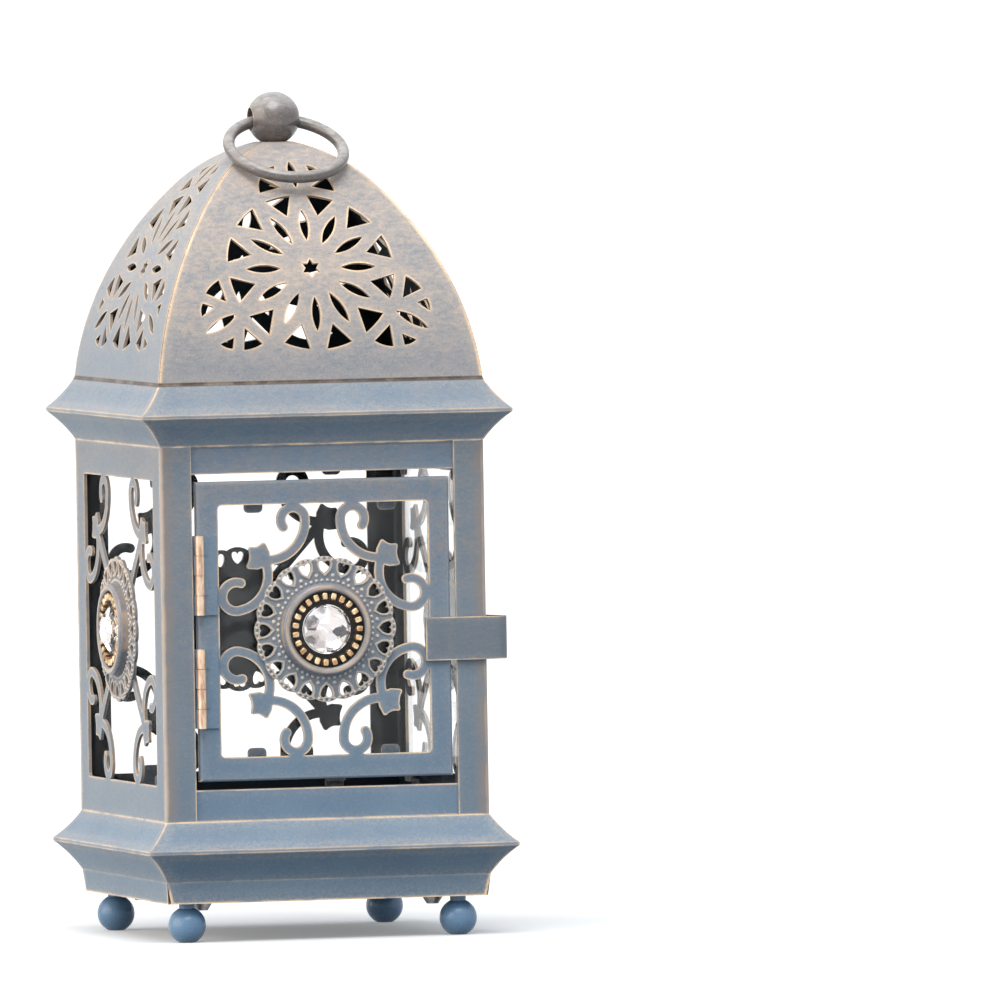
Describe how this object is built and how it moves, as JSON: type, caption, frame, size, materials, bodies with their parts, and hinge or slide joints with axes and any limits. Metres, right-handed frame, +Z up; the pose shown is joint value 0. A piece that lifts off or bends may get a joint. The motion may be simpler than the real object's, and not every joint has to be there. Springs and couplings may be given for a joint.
{
  "type": "candle lantern",
  "caption": "Small square metal candle lantern with a hinged glazed door, scroll fretwork, jewelled medallions, a pierced dome roof and a carry ring through a ball finial.",
  "frame": {"origin": "on the ground, under the middle of the square body", "axes": "+X to the right as the door is seen, +Y from the door to the back, +Z up"},
  "size_m": [0.096, 0.096, 0.2119],
  "materials": {
    "body_paint": "matte blue grey, edges rubbed to copper",
    "door_paint": "matte blue grey, edges rubbed to copper",
    "moulding_paint": "matte blue grey, ridges rubbed to copper",
    "dome_paint": "matte grey with a warm copper rub",
    "inner_paint": "matte blue grey",
    "filigree_paint": "matte blue grey, rubbed to copper",
    "bezel_paint": "satin blue grey, rubbed to copper",
    "finial_paint": "satin grey with a warm copper rub",
    "foot_paint": "satin blue",
    "hinge_copper": "rubbed copper brown",
    "claw_brass": "pale polished brass",
    "tab_steel": "matte blue grey",
    "fastener_steel": "plain",
    "window_glass": "clear",
    "crystal": "clear, cut and polished"
  },
  "bodies": {
    "lantern": {"back_bezel": "bezel_paint", "back_claw_ring": "claw_brass", "back_crystal": "crystal", "back_filigree": "filigree_paint", "back_glass": "window_glass", "back_glass_tabs": "tab_steel", "back_panel": "body_paint", "base_moulding": "moulding_paint", "base_plate": "inner_paint", "base_screws": "fastener_steel", "candle_floor": "inner_paint", "crown_plate": "inner_paint", "dome_panel_back": "dome_paint", "dome_panel_front": "dome_paint", "dome_panel_left": "dome_paint", "dome_panel_right": "dome_paint", "finial_ball": "finial_paint", "finial_screw": "fastener_steel", "foot_back_left": "foot_paint", "foot_back_right": "foot_paint", "foot_front_left": "foot_paint", "foot_front_right": "foot_paint", "front_bottom_rail": "body_paint", "front_top_rail": "body_paint", "hinge_lower_frame_leaf": "hinge_copper", "hinge_lower_pin": "fastener_steel", "hinge_upper_frame_leaf": "hinge_copper", "hinge_upper_pin": "fastener_steel", "left_bezel": "bezel_paint", "left_claw_ring": "claw_brass", "left_crystal": "crystal", "left_filigree": "filigree_paint", "left_glass": "window_glass", "left_glass_tabs": "tab_steel", "left_panel": "body_paint", "left_post": "body_paint", "right_bezel": "bezel_paint", "right_claw_ring": "claw_brass", "right_crystal": "crystal", "right_filigree": "filigree_paint", "right_glass": "window_glass", "right_glass_tabs": "tab_steel", "right_panel": "body_paint", "right_post": "body_paint", "roof_cornice": "moulding_paint"},
    "door": {"door_bezel": "bezel_paint", "door_claw_ring": "claw_brass", "door_crystal": "crystal", "door_filigree": "filigree_paint", "door_glass": "window_glass", "door_glass_tabs": "tab_steel", "door_panel": "door_paint", "hinge_lower_door_leaf": "hinge_copper", "hinge_upper_door_leaf": "hinge_copper", "latch_clip": "door_paint"},
    "ring": {"carry_ring": "finial_paint"}
  },
  "joints": [
    {"name": "door_swing", "type": "hinge", "parent": "lantern", "child": "door", "pos_m": [-0.03255, -0.04345, 0.078], "axis": [0, 0, -1], "range_deg": [0, 170]},
    {"name": "ring_swing", "type": "hinge", "parent": "lantern", "child": "ring", "pos_m": [0, 0, 0.20451], "axis": [-1, 0, 0], "range_deg": [0, 238]}
  ]
}
